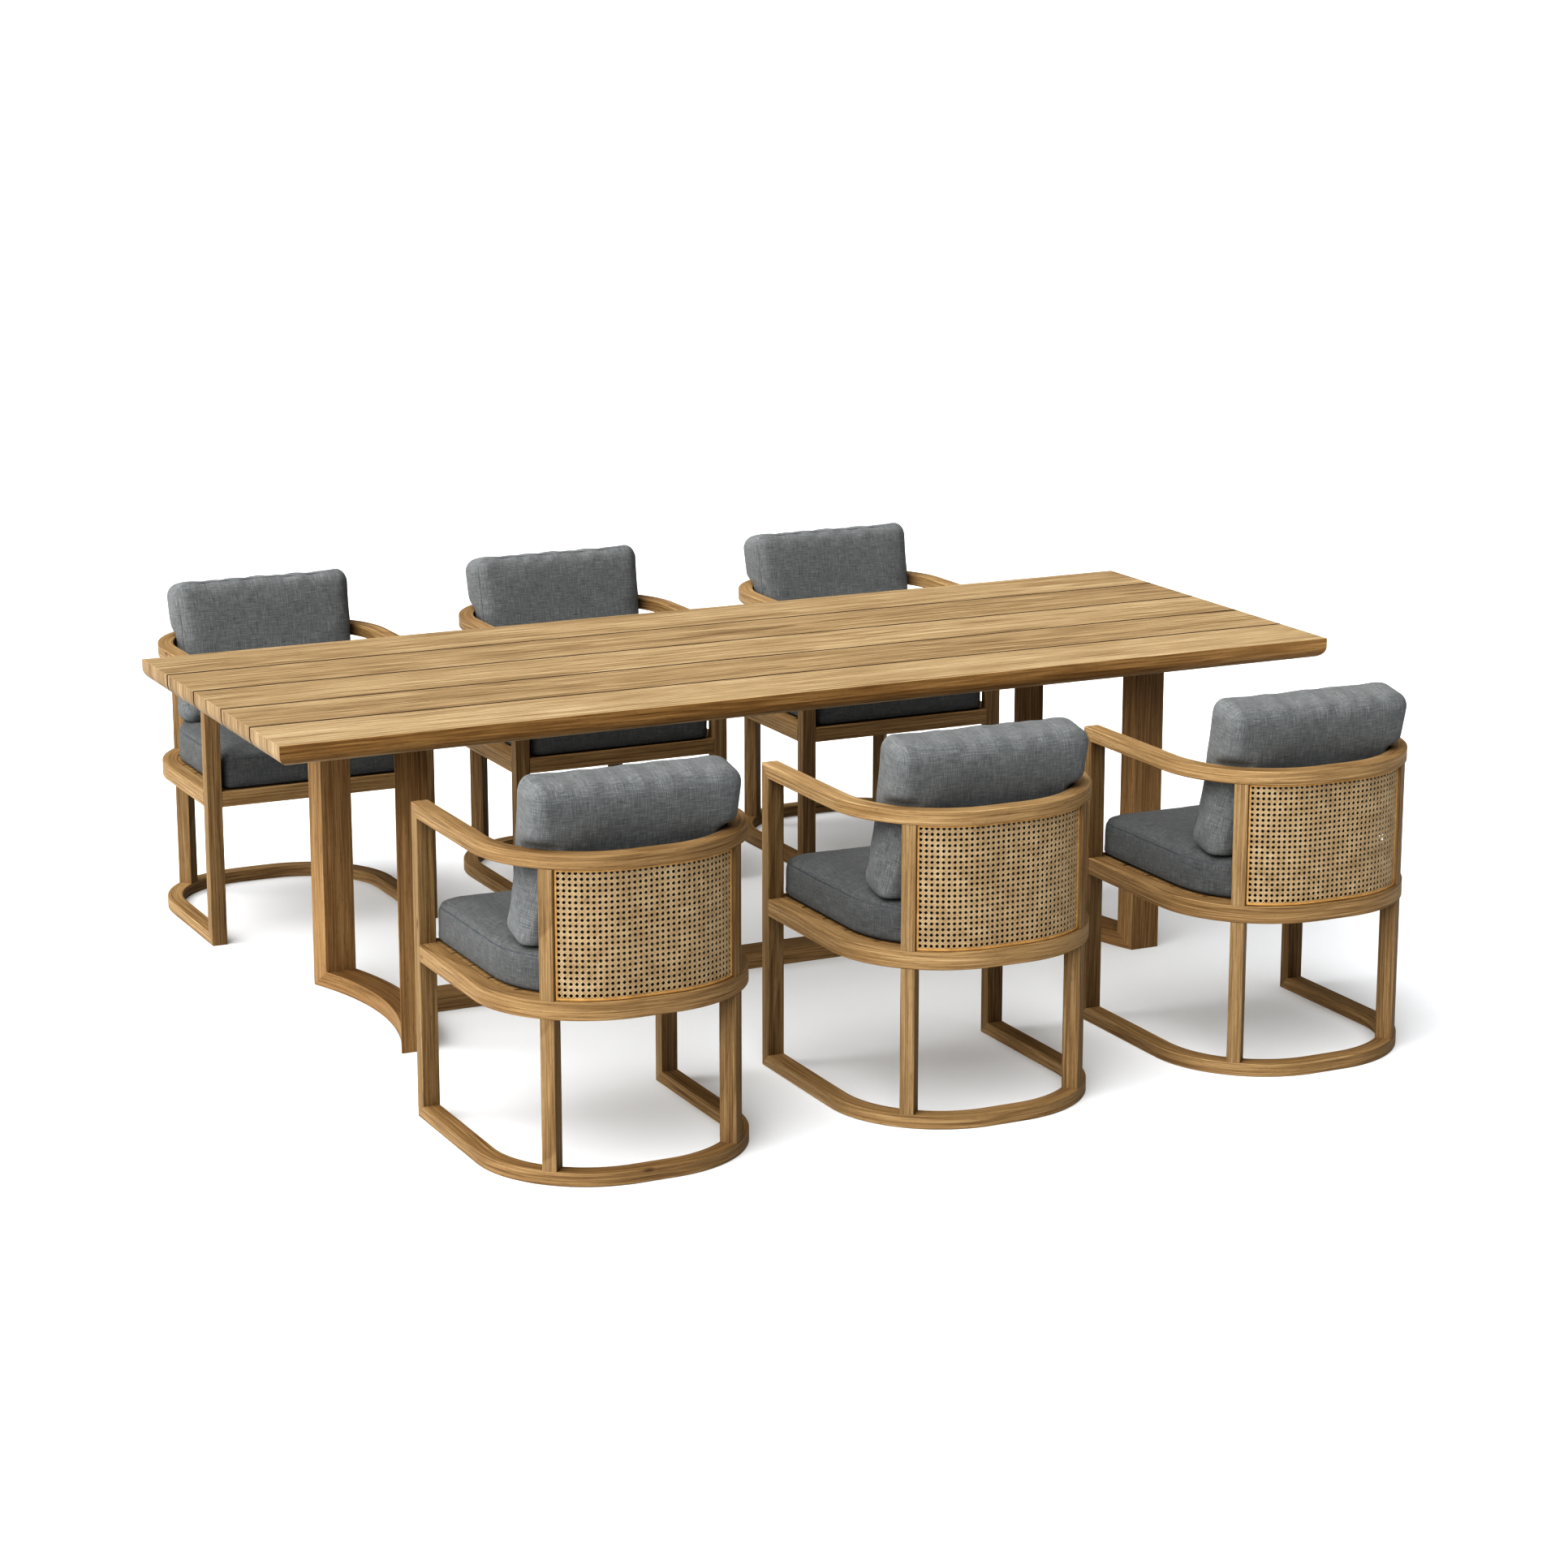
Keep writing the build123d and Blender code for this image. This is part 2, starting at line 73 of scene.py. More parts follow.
# ---------------------------------------------------------------- materials
class Mat:
    """Small helper to write a node tree as expressions."""

    def __init__(self, name):
        self.m = bpy.data.materials.new(name)
        self.m.use_nodes = True
        self.t = self.m.node_tree
        self.t.nodes.clear()
        out = self.t.nodes.new("ShaderNodeOutputMaterial")
        self.p = self.t.nodes.new("ShaderNodeBsdfPrincipled")
        self.t.links.new(self.p.outputs[0], out.inputs[0])

    def put(self, socket, value):
        if isinstance(value, bpy.types.NodeSocket):
            self.t.links.new(value, socket)
        elif value is not None:
            socket.default_value = value

    def math(self, op, a, b=None, c=None, clamp=False):
        n = self.t.nodes.new("ShaderNodeMath")
        n.operation = op
        n.use_clamp = clamp
        for i, v in enumerate((a, b, c)):
            if v is not None:
                self.put(n.inputs[i], v)
        return n.outputs[0]

    def vec(self, x, y, z):
        n = self.t.nodes.new("ShaderNodeCombineXYZ")
        for i, v in enumerate((x, y, z)):
            self.put(n.inputs[i], v)
        return n.outputs[0]

    def split(self, v):
        n = self.t.nodes.new("ShaderNodeSeparateXYZ")
        self.put(n.inputs[0], v)
        return n.outputs[0], n.outputs[1], n.outputs[2]

    def coords(self, kind="Object"):
        return self.t.nodes.new("ShaderNodeTexCoord").outputs[kind]

    def noise(self, v, scale=1.0, detail=3.0, rough=0.55, warp=0.0):
        n = self.t.nodes.new("ShaderNodeTexNoise")
        self.put(n.inputs["Vector"], v)
        n.inputs["Scale"].default_value = scale
        n.inputs["Detail"].default_value = detail
        n.inputs["Roughness"].default_value = rough
        n.inputs["Distortion"].default_value = warp
        return n.outputs[0]

    def white(self, w):
        n = self.t.nodes.new("ShaderNodeTexWhiteNoise")
        n.noise_dimensions = "1D"
        self.put(n.inputs["W"], w)
        return n.outputs[0]

    def ramp(self, fac, stops):
        n = self.t.nodes.new("ShaderNodeValToRGB")
        self.put(n.inputs[0], fac)
        e = n.color_ramp.elements
        while len(e) < len(stops):
            e.new(0.5)
        for k, (p, c) in enumerate(stops):
            e[k].position = p
            e[k].color = (*c, 1) if len(c) == 3 else c
        return n.outputs[0]

    def step(self, v, lo, hi, to_lo=0.0, to_hi=1.0):
        n = self.t.nodes.new("ShaderNodeMapRange")
        n.interpolation_type = "SMOOTHSTEP"
        self.put(n.inputs[0], v)
        n.inputs[1].default_value = lo
        n.inputs[2].default_value = hi
        n.inputs[3].default_value = to_lo
        n.inputs[4].default_value = to_hi
        return n.outputs[0]

    def mix(self, fac, a, b, blend="MIX"):
        n = self.t.nodes.new("ShaderNodeMix")
        n.data_type = "RGBA"
        n.blend_type = blend
        self.put(n.inputs[0], fac)
        for k, v in ((6, a), (7, b)):
            self.put(n.inputs[k], (*v, 1) if isinstance(v, tuple) and len(v) == 3 else v)
        return n.outputs[2]

    def normal(self):
        return self.split(self.t.nodes.new("ShaderNodeNewGeometry").outputs["True Normal"])

    def bump(self, height, strength, distance):
        n = self.t.nodes.new("ShaderNodeBump")
        n.inputs["Strength"].default_value = strength
        n.inputs["Distance"].default_value = distance
        self.put(n.inputs["Height"], height)
        return n.outputs[0]


def ring_coords(k, with_rail=False):
    """Along, across and up for a D-shaped ring, from the row frame."""
    x, y, z = k.split(k.coords())
    col = k.math("ROUND", k.math("DIVIDE", x, CHAIR_X))
    xl = k.math("SUBTRACT", x, k.math("MULTIPLY", col, CHAIR_X))
    d = k.math("SUBTRACT", k.math("ABSOLUTE", y), FRONT_Y)
    ax = k.math("ABSOLUTE", xl)
    px = k.math("MAXIMUM", k.math("SUBTRACT", ax, CX), 0.0)
    py = k.math("MAXIMUM", k.math("SUBTRACT", d, CYS), 0.0)
    phi = k.math("ARCTAN2", px, py)
    s = k.math("ADD", k.math("MINIMUM", ax, CX), k.math("MULTIPLY", phi, RM))
    s = k.math("ADD", s, k.math("MAXIMUM", k.math("SUBTRACT", CYS, d), 0.0))
    s = k.math("MULTIPLY", s, k.math("SIGN", xl))
    rho = k.math("SUBTRACT", k.math("SQRT", k.math("ADD", k.math("MULTIPLY", px, px), k.math("MULTIPLY", py, py))), RM)
    if with_rail:  # the straight front rail runs across
        m = k.math("MULTIPLY", k.math("LESS_THAN", ax, 0.2463), k.math("LESS_THAN", d, 0.07))
        inv = k.math("SUBTRACT", 1.0, m)
        s = k.math("ADD", k.math("MULTIPLY", m, k.math("ADD", xl, 5.0)), k.math("MULTIPLY", inv, s))
        rho = k.math("ADD", k.math("MULTIPLY", m, d), k.math("MULTIPLY", inv, rho))
    seed = k.math("ADD", k.math("MULTIPLY", col, 3.7), k.math("MULTIPLY", k.math("SIGN", y), 9.1))
    return s, rho, z, k.math("ADD", seed, k.math("MULTIPLY", k.math("ROUND", k.math("MULTIPLY", z, 3.3)), 5.3))


def bow_coords(k):
    """Along, across and up for the curved feet and heads of the trestles."""
    x, y, z = k.split(k.coords())
    dx = k.math("SUBTRACT", ARC_C, k.math("ABSOLUTE", x))
    end = k.math("GREATER_THAN", k.math("ABSOLUTE", k.normal()[1]), 0.75)
    keep = k.math("SUBTRACT", 1.0, end)
    along = k.math("ADD", k.math("MULTIPLY", keep, k.math("MULTIPLY", k.math("ARCTAN2", y, dx), ARC_RM)), k.math("MULTIPLY", end, z))
    r = k.math("SQRT", k.math("ADD", k.math("MULTIPLY", dx, dx), k.math("MULTIPLY", y, y)))
    z = k.math("MULTIPLY", keep, z)
    seed = k.math("ADD", k.math("MULTIPLY", k.math("SIGN", x), 4.3), k.math("MULTIPLY", z, 9.0))
    return along, k.math("SUBTRACT", r, ARC_RM), z, seed


def straight(axis):
    def f(k):
        x, y, z = k.split(k.coords())
        if axis == "x":
            return x, y, z, None
        if axis == "y":
            return y, x, z, None
        return z, x, y, None
    return f


def plank_coords(k):
    x, y, z = k.split(k.coords())
    idx = k.math("ROUND", k.math("DIVIDE", y, PLANK_PITCH))
    end = k.step(k.math("ABSOLUTE", k.normal()[0]), 0.6, 0.8)
    keep = k.math("SUBTRACT", 1.0, end)
    along = k.math("ADD", k.math("MULTIPLY", keep, x), k.math("MULTIPLY", end, k.math("MULTIPLY", z, 0.5)))
    return along, k.math("SUBTRACT", y, k.math("MULTIPLY", idx, PLANK_PITCH)), k.math("MULTIPLY", keep, z), k.math("MULTIPLY", idx, 7.31)


def post_coords(k):
    """Up a chair post, with a different seed for each post."""
    x, y, z = k.split(k.coords())
    return z, x, y, k.math("ADD", k.math("MULTIPLY", k.math("ROUND", k.math("MULTIPLY", x, 4.1)), 2.17),
                           k.math("MULTIPLY", k.math("ROUND", k.math("MULTIPLY", y, 4.3)), 1.31))


FRAME_TONE = 0.715
DARK, LOW, MID, HIGH = (0.130, 0.074, 0.030), (0.250, 0.153, 0.068), (0.370, 0.243, 0.119), (0.520, 0.368, 0.205)


def teak(name, coords, rings=0.0085, tilt=0.03, oiled_edge_and_shade=False, tone=1.0, plank=False, broad=0.50, veins=0.30, streaky=0.62, late_amt=0.16, tint=(0.97, 1.02, 1.08)):
    k = Mat(name)
    g = 1.0 if plank else 1.7           # narrow pieces are cut from finer-grained stock
    a, b, c, seed = coords(k)
    if seed is None:
        seed = 0.0
    rnd = k.white(seed) if isinstance(seed, bpy.types.NodeSocket) else 0.5
    sa = k.math("ADD", a, seed)

    # Yearly rings: the tree's axis runs beside the board, wanders a little and leans
    low = k.noise(k.vec(k.math("MULTIPLY", sa, 1.1), k.math("MULTIPLY", b, 3.0), k.math("MULTIPLY", c, 3.0)), 1.0, 2.0)
    low2 = k.noise(k.vec(k.math("MULTIPLY", sa, 4.0), k.math("MULTIPLY", b, 9.0), k.math("MULTIPLY", c, 9.0)), 1.0, 2.0)
    off = k.math("MULTIPLY_ADD", rnd, 0.16, -0.02) if plank else 0.06
    bb = k.math("ADD", b, k.math("ADD", off, k.math("MULTIPLY", k.math("SUBTRACT", low, 0.5), 0.05)))
    lean = k.math("MULTIPLY", k.math("SINE", k.math("MULTIPLY", sa, 1.7)), tilt)
    cc = k.math("ADD", c, k.math("ADD", lean, 0.03 if not plank else -0.68))
    r = k.math("SQRT", k.math("ADD", k.math("MULTIPLY", bb, bb), k.math("MULTIPLY", cc, cc)))
    r = k.math("ADD", r, k.math("MULTIPLY", low2, 0.006))
    phase = k.math("FRACT", k.math("DIVIDE", r, rings))
    late = k.math("POWER", phase, 2.2)                       # slow early wood, sharp late wood
    late = k.math("MULTIPLY", late, k.step(phase, 0.93, 1.0, 1.0, 0.0))

    # Fibre streaks and pores, long along the grain
    fine = k.noise(k.vec(k.math("MULTIPLY", sa, 7.0), k.math("MULTIPLY", b, 260.0 * g), k.math("MULTIPLY", c, 260.0 * g)), 1.0, 4.0, 0.6)
    band = k.noise(k.vec(k.math("MULTIPLY", sa, 1.5), k.math("MULTIPLY", b, 34.0 * g), k.math("MULTIPLY", c, 34.0 * g)), 1.0, 3.0, 0.55, 0.15)
    pore = k.noise(k.vec(k.math("MULTIPLY", sa, 55.0), k.math("MULTIPLY", b, 900.0), k.math("MULTIPLY", c, 900.0)), 1.0, 2.0, 0.5)
    pores = k.step(pore, 0.60, 0.72)
    vein = k.step(k.noise(k.vec(k.math("MULTIPLY", sa, 14.0), k.math("MULTIPLY", b, 330.0), k.math("MULTIPLY", c, 330.0)), 1.0, 2.0, 0.5), 0.58, 0.74)

    streak = k.noise(k.vec(k.math("MULTIPLY", sa, 3.5), k.math("MULTIPLY", b, 170.0 * g), k.math("MULTIPLY", c, 170.0 * g)), 1.0, 3.0, 0.6)
    f = k.math("MULTIPLY_ADD", band, broad, 0.365 - 0.5 * broad)
    f = k.math("ADD", f, k.math("MULTIPLY", k.math("SUBTRACT", streak, 0.5), streaky))
    f = k.math("ADD", f, k.math("MULTIPLY", k.math("SUBTRACT", fine, 0.5), 1.15))
    f = k.math("SUBTRACT", f, k.math("MULTIPLY", late, late_amt))
    f = k.math("ADD", f, k.math("MULTIPLY", k.math("SUBTRACT", rnd, 0.5), 0.16))
    f = k.math("ADD", f, 0.10)
    col = k.ramp(f, [(0.02, DARK), (0.28, LOW), (0.52, MID), (0.85, HIGH)])
    col = k.mix(k.math("MULTIPLY", vein, veins), col, (0.20, 0.115, 0.048))
    col = k.mix(k.math("MULTIPLY", pores, 0.45), col, (0.13, 0.068, 0.026))

    # A few small knots
    v = k.t.nodes.new("ShaderNodeTexVoronoi")
    v.inputs["Scale"].default_value = 1.0
    k.put(v.inputs["Vector"], k.vec(k.math("MULTIPLY", sa, 3.2), k.math("MULTIPLY", b, 9.0), k.math("MULTIPLY", c, 9.0)))
    rare = k.math("GREATER_THAN", k.split(v.outputs["Color"])[0], 0.80)
    knot = k.math("MULTIPLY", k.step(v.outputs["Distance"], 0.015, 0.055, 1.0, 0.0), rare)
    col = k.mix(k.math("MULTIPLY", knot, 0.75), col, (0.10, 0.050, 0.020))

    if oiled_edge_and_shade:  # long edges read darker: partly sawn edge grain that soaks up more oil, partly painted shade for the floor bounce the chairs keep off them
        nx, ny, nz = k.normal()
        edge = k.step(k.math("ABSOLUTE", ny), 0.35, 0.85)
        col = k.mix(edge, col, k.mix(1.0, col, (0.78, 0.63, 0.44), "MULTIPLY"))
        # painted shade in the joints between the planks: a dark band along each side of every gap
        painted_joint_shade = k.math("MULTIPLY", k.step(k.math("ABSOLUTE", b), 0.0920, 0.0938), k.math("LESS_THAN", k.math("ABSOLUTE", k.split(k.coords())[1]), 0.476))
        col = k.mix(k.math("MULTIPLY", painted_joint_shade, 0.90), col, (0.040, 0.022, 0.010))
    if plank:      # the sawn ends are a shade darker
        cut = k.step(k.math("ABSOLUTE", k.normal()[0]), 0.6, 0.8)
        col = k.mix(cut, col, k.mix(1.0, col, (0.89, 0.86, 0.84), "MULTIPLY"))
    col = k.mix(1.0, col, tuple(tone * v for v in tint), "MULTIPLY")
    k.put(k.p.inputs["Base Color"], col)
    rough = k.math("ADD", k.math("MULTIPLY", fine, 0.18), k.math("MULTIPLY_ADD", pores, 0.12, 0.50))
    k.put(k.p.inputs["Roughness"], rough)
    h = k.math("SUBTRACT", k.math("MULTIPLY", fine, 0.6), k.math("MULTIPLY", pores, 0.8))
    h = k.math("SUBTRACT", h, k.math("MULTIPLY", late, 0.2))
    k.put(k.p.inputs["Normal"], k.bump(h, 0.35, 0.0006))
    k.p.inputs["Specular IOR Level"].default_value = 0.28
    return k.m


def fabric(name, tone=1.0):
    """Outdoor linen-look cloth: slubby threads both ways over a fine plain weave."""
    k = Mat(name)
    u, v, _ = k.split(k.coords("UV"))

    def thread(p, q, long, thin, shift):
        return k.noise(k.vec(k.math("MULTIPLY", p, long), k.math("MULTIPLY", q, thin), shift), 1.0, 2.0, 0.5)

    warp1 = thread(u, v, 26.0, 420.0, 0.0)
    weft1 = thread(v, u, 26.0, 420.0, 7.0)
    warp2 = thread(u, v, 60.0, 1100.0, 13.0)
    weft2 = thread(v, u, 60.0, 1100.0, 19.0)
    slub = k.math("MULTIPLY", k.math("ADD", warp1, weft1), 0.5)
    fine = k.math("MULTIPLY", k.math("ADD", warp2, weft2), 0.5)
    mottle = k.noise(k.vec(k.math("MULTIPLY", u, 14.0), k.math("MULTIPLY", v, 14.0), 3.0), 1.0, 3.0)
    weave = k.math("MULTIPLY", k.math("SINE", k.math("MULTIPLY", u, 3600.0)), k.math("SINE", k.math("MULTIPLY", v, 3600.0)))
    f = k.math("ADD", k.math("MULTIPLY", k.math("SUBTRACT", slub, 0.5), 1.15), k.math("MULTIPLY", k.math("SUBTRACT", fine, 0.5), 1.35))
    f = k.math("ADD", f, k.math("MULTIPLY", k.math("SUBTRACT", mottle, 0.5), 0.14))
    f = k.math("ADD", f, k.math("MULTIPLY_ADD", weave, 0.05, 0.5))
    t = tone
    col = k.ramp(f, [(0.12, (0.066 * t, 0.070 * t, 0.072 * t)), (0.42, (0.116 * t, 0.121 * t, 0.121 * t)),
                     (0.62, (0.154 * t, 0.157 * t, 0.156 * t)), (0.92, (0.252 * t, 0.255 * t, 0.250 * t))])
    # A few dark blue-grey and pale threads
    stray = k.step(warp1, 0.66, 0.74)
    col = k.mix(k.math("MULTIPLY", stray, 0.28), col, (0.058 * t, 0.076 * t, 0.096 * t))
    pale = k.step(weft1, 0.67, 0.76)
    col = k.mix(k.math("MULTIPLY", pale, 0.10), col, (0.31 * t, 0.31 * t, 0.30 * t))
    k.put(k.p.inputs["Base Color"], col)
    k.put(k.p.inputs["Roughness"], k.math("MULTIPLY_ADD", fine, 0.12, 0.82))
    h = k.math("ADD", k.math("MULTIPLY", weave, 0.35), k.math("ADD", slub, fine))
    k.put(k.p.inputs["Normal"], k.bump(h, 0.45, 0.0009))
    k.p.inputs["Specular IOR Level"].default_value = 0.18
    k.p.inputs["Sheen Weight"].default_value = 0.09
    k.p.inputs["Sheen Roughness"].default_value = 0.5
    return k.m


def thread_mat(name):
    k = Mat(name)
    n = k.noise(k.coords(), 320.0, 2.0)
    k.put(k.p.inputs["Base Color"], k.ramp(n, [(0.3, (0.035, 0.041, 0.047)), (0.7, (0.085, 0.094, 0.10))]))
    k.put(k.p.inputs["Roughness"], k.math("MULTIPLY_ADD", n, 0.1, 0.8))
    k.put(k.p.inputs["Normal"], k.bump(n, 0.4, 0.0005))
    return k.m


def cane(name, rim=False):
    k = Mat(name)
    x, y, z = k.split(k.coords())
    tone = k.noise(k.coords(), 38.0, 3.0, 0.6)
    fib = k.noise(k.coords(), 420.0, 2.0, 0.5)
    f = k.math("ADD", k.math("MULTIPLY", tone, 0.75), k.math("MULTIPLY", fib, 0.35))
    if rim:
        cols = [(0.25, (0.235, 0.131, 0.044)), (0.55, (0.38, 0.232, 0.088)), (0.85, (0.50, 0.338, 0.154))]
    else:
        cols = [(0.25, (0.212, 0.148, 0.076)), (0.55, (0.322, 0.244, 0.148)), (0.85, (0.420, 0.342, 0.230))]
    k.put(k.p.inputs["Base Color"], k.ramp(f, cols))
    k.put(k.p.inputs["Roughness"], k.math("MULTIPLY_ADD", fib, 0.2, 0.40))
    k.put(k.p.inputs["Normal"], k.bump(fib, 0.3, 0.0004))
    k.p.inputs["Specular IOR Level"].default_value = 0.4
    return k.m


def steel(name):
    k = Mat(name)
    n = k.noise(k.coords(), 700.0, 2.0)
    k.put(k.p.inputs["Base Color"], k.ramp(n, [(0.3, (0.50, 0.49, 0.47)), (0.7, (0.66, 0.65, 0.63))]))
    k.put(k.p.inputs["Roughness"], k.math("MULTIPLY_ADD", n, 0.2, 0.25))
    k.put(k.p.inputs["Normal"], k.bump(n, 0.15, 0.0002))
    k.p.inputs["Metallic"].default_value = 1.0
    return k.m


M_PLANK = teak("teak_planks", plank_coords, rings=0.0095, tilt=0.012, oiled_edge_and_shade=True, plank=True, broad=0.50, veins=0.14, streaky=0.95, late_amt=0.20, tone=0.98, tint=(0.84, 0.965, 1.17))
M_BATTEN = teak("teak_battens", straight("y"), tone=FRAME_TONE)
M_STRETCH = teak("teak_stretcher", straight("x"), tone=FRAME_TONE)
# painted shade: the trestle legs, heads and feet stand under the table top and get a darker, warmer copy of the frame
# teak
M_LEG_SHADED = teak("teak_legs_painted_shade", post_coords, tone=FRAME_TONE * 0.88, tint=(1.0, 0.98, 0.96))
M_BOW_SHADED = teak("teak_bows_painted_shade", bow_coords, tone=FRAME_TONE * 0.90, tint=(1.0, 0.98, 0.96))
M_RING = teak("teak_rings", ring_coords, tone=FRAME_TONE)
M_SEATRING = teak("teak_seat_ring", lambda k: ring_coords(k, True), tone=FRAME_TONE)
M_POST = teak("teak_posts", post_coords, tone=FRAME_TONE * 0.83)
# painted shade: the stiles and rail behind the cane get a very dark teak (tone 0.30) so the holes in front of them read
# as shadowed
M_STILE_SHADE = teak("teak_stiles_painted_shade", post_coords, tone=0.30)
M_SLAT = teak("teak_slats", straight("x"), tone=FRAME_TONE)
M_FABRIC = fabric("linen_grey", 0.95)
# painted shade: the seat cushion gets a darker copy of the same linen, for the shade of the arms and back cushion over
# it
M_SEATCLOTH_SHADED = fabric("linen_grey_seat_painted_shade", 0.645)
M_THREAD = thread_mat("seam_thread")
M_CANE = cane("cane_strands")
M_RIM = cane("cane_rim", True)
M_STEEL = steel("screw_steel")


def dress(node, mat):
    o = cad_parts[node]
    o.data.materials.clear()
    o.data.materials.append(mat)


for i in range(1, 6):
    dress("table_plank_%d" % i, M_PLANK)
dress("table_battens", M_BATTEN)
dress("table_stretcher", M_STRETCH)
dress("trestle_legs", M_LEG_SHADED)
for n in ("trestle_foot_left", "trestle_foot_right", "trestle_heads"):
    dress(n, M_BOW_SHADED)
dress("table_screws", M_STEEL)
for c, _, _ in CHAIRS:
    dress("chair%d_base_ring" % c, M_RING)
    dress("chair%d_arm_ring" % c, M_RING)
    dress("chair%d_seat_frame" % c, M_SEATRING)
    dress("chair%d_posts" % c, M_POST)
    dress("chair%d_seat_slats" % c, M_SLAT)


# ------------------------------------------------------------- mesh helpers
def new_object(name, co, faces, mats, face_mats=None, smooth=True):
    me = bpy.data.meshes.new(name)
    me.from_pydata([tuple(map(float, p)) for p in co], [], [tuple(map(int, f)) for f in faces])
    for m in mats:
        me.materials.append(m)
    if face_mats is not None:
        me.polygons.foreach_set("material_index", np.asarray(face_mats, np.int32))
    me.polygons.foreach_set("use_smooth", np.full(len(me.polygons), smooth))
    me.update()
    o = bpy.data.objects.new(name, me)
    scene.collection.objects.link(o)
    return o


def d_points(off, front, n_arc=24, step=0.03):
    """The D outline inset by off, open at the front, from left front to right front, as (x, depth)."""
    w, r = CX + 0.245 - off, 0.245 - off
    pts = [(-w, d) for d in np.linspace(front, CYS, max(2, int((CYS - front) / step)), endpoint=False)]
    pts += [(-(CX + r * math.cos(a)), CYS + r * math.sin(a)) for a in np.linspace(0, math.pi / 2, n_arc)]
    pts += [(x, CYS + r) for x in np.linspace(-CX, CX, 5)[1:-1]]
    pts += [(CX + r * math.cos(a), CYS + r * math.sin(a)) for a in np.linspace(math.pi / 2, 0, n_arc)]
    pts += [(w, d) for d in np.linspace(CYS, front, max(2, int((CYS - front) / step)))[1:]]
    return np.array(pts)


def sweep(points, radius, sides=8, closed=True):
    """Tube along points."""
    p = np.array(points, float)
    n = len(p)
    t = np.roll(p, -1, 0) - np.roll(p, 1, 0)
    if not closed:
        t[0], t[-1] = p[1] - p[0], p[-1] - p[-2]
    t /= np.linalg.norm(t, axis=1)[:, None]
    up = np.array([0, 0, 1.0])
    co, faces = [], []
    for i in range(n):
        s = np.cross(t[i], up)
        if np.linalg.norm(s) < 0.2:
            s = np.cross(t[i], [0, 1.0, 0])
        s /= np.linalg.norm(s)
        w = np.cross(s, t[i])
        for j in range(sides):
            a = 2 * math.pi * j / sides
            co.append(p[i] + radius * (math.cos(a) * s + math.sin(a) * w))
    for i in range(n if closed else n - 1):
        for j in range(sides):
            a, b = i * sides + j, i * sides + (j + 1) % sides
            c, d = ((i + 1) % n) * sides + (j + 1) % sides, ((i + 1) % n) * sides + j
            faces.append((a, b, c, d))
    return np.array(co), faces


def remeshed(name, co, faces, voxel):
    """Closed form as an even voxel mesh; returns a linked object."""
    o = new_object(name, co, faces, [])
    m = o.modifiers.new("r", "REMESH")
    m.mode = "VOXEL"
    m.voxel_size = voxel
    dg = bpy.context.evaluated_depsgraph_get()
    me = bpy.data.meshes.new_from_object(o.evaluated_get(dg))
    o.modifiers.clear()
    o.data = me
    return o


def coords_of(me):
    a = np.zeros(len(me.vertices) * 3, np.float32)
    me.vertices.foreach_get("co", a)
    return a.reshape(-1, 3).astype(float)


def set_coords(me, a):
    me.vertices.foreach_set("co", a.astype(np.float32).ravel())
    me.update()


def inflate(o, pressure, still, frames=20):
    """Cloth with air pressure, no gravity; still(co) is the weight 0 to 1 that holds a point in place."""
    co = coords_of(o.data)
    g = o.vertex_groups.new(name="pin")
    w = still(co)
    for i in np.nonzero(w > 0)[0]:
        g.add([int(i)], float(w[i]), "REPLACE")
    m = o.modifiers.new("c", "CLOTH")
    s = m.settings
    s.quality = 5
    s.mass = 0.25
    s.tension_stiffness = s.compression_stiffness = 18
    s.shear_stiffness = 8
    s.bending_stiffness = 0.6
    s.use_pressure = True
    s.uniform_pressure_force = pressure
    s.vertex_group_mass = "pin"
    s.effector_weights.gravity = 0
    m.collision_settings.use_collision = False
    m.point_cache.frame_start = 1
    m.point_cache.frame_end = frames
    for f in range(1, frames + 1):
        scene.frame_set(f)
    dg = bpy.context.evaluated_depsgraph_get()
    me = bpy.data.meshes.new_from_object(o.evaluated_get(dg))
    out = coords_of(me)
    o.modifiers.clear()
    scene.frame_set(1)
    return out


def smooth_field(me, field, rounds):
    """Averages a value per vertex with its neighbours."""
    e = np.zeros(len(me.edges) * 2, np.int32)
    me.edges.foreach_get("vertices", e)
    e = e.reshape(-1, 2)
    cnt = np.bincount(e.ravel(), minlength=len(me.vertices)).astype(float)[:, None]
    f = field.copy()
    for _ in range(rounds):
        acc = np.zeros_like(f)
        np.add.at(acc, e[:, 0], f[e[:, 1]])
        np.add.at(acc, e[:, 1], f[e[:, 0]])
        f = 0.5 * f + 0.5 * acc / np.maximum(cnt, 1)
    return f


def normals_of(me):
    a = np.zeros(len(me.vertices) * 3, np.float32)
    me.vertices.foreach_get("normal", a)
    return a.reshape(-1, 3).astype(float)


def field_noise(co, size, seed):
    return np.array([noise.noise(Vector((p[0] / size + seed, p[1] / size, p[2] / size))) for p in co])


def loops_uv(me, fn):
    """fn(points, normals) gives u, v per loop."""
    n = len(me.loops)
    vi = np.zeros(n, np.int32)
    me.loops.foreach_get("vertex_index", vi)
    counts = np.zeros(len(me.polygons), np.int32)
    me.polygons.foreach_get("loop_total", counts)
    nor = np.zeros(len(me.polygons) * 3, np.float32)
    me.polygons.foreach_get("normal", nor)
    nor = np.repeat(nor.reshape(-1, 3), counts, axis=0)
    uv = fn(coords_of(me)[vi], nor)
    layer = me.uv_layers.new(name="UVMap")
    layer.data.foreach_set("uv", uv.astype(np.float32).ravel())


def polar(x, d, r):
    """Distance along the D path from the back middle, signed."""
    px, py = np.maximum(np.abs(x) - CX, 0), np.maximum(d - CYS, 0)
    s = np.minimum(np.abs(x), CX) + np.arctan2(px, py + 1e-9) * r + np.maximum(CYS - d, 0)
    return s * np.sign(x)


